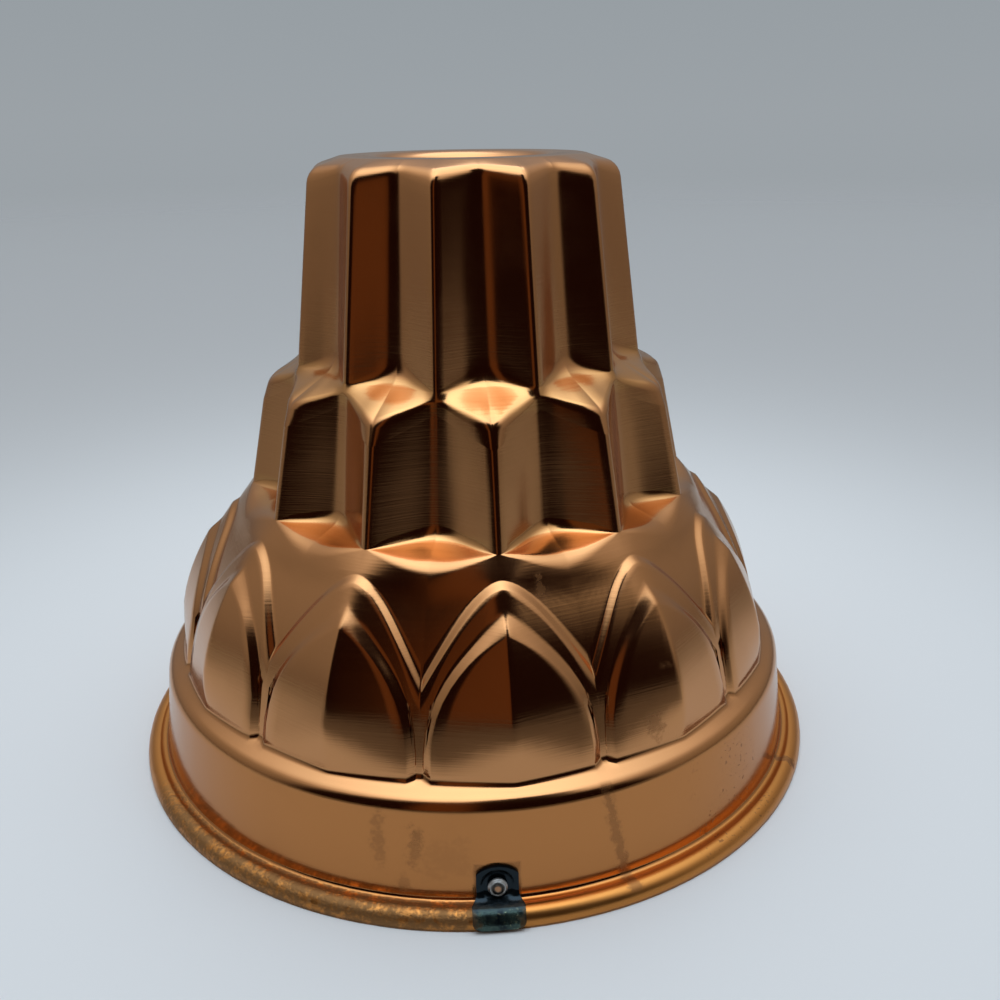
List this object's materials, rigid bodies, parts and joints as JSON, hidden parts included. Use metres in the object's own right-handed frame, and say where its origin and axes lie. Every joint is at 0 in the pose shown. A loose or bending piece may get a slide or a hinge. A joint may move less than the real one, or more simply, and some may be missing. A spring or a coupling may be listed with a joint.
{
  "type": "fluted tube pan",
  "caption": "Tall tiered baking mould in copper-toned sheet with star-fluted tiers, arched panels, a plain band, a central tube and a riveted hanger tab.",
  "frame": {"origin": "centre of the open mouth, on the plane the mould stands on", "axes": "+Z along the axis from the mouth to the crown; -Y towards the front panel ridge, beside the hanger tab; +X to the right seen from the front"},
  "size_m": [0.208, 0.209, 0.171],
  "materials": {
    "copper_sheet": "bright copper-toned, finely brushed round the axis",
    "blued_steel": "dark blued, with tarnish and a little rust",
    "rivet_metal": "dull grey with a worn copper-toned middle"
  },
  "bodies": {
    "root": {"mould_shell": "copper_sheet", "hanger_tab": "blued_steel", "rivet": "rivet_metal"}
  },
  "joints": []
}
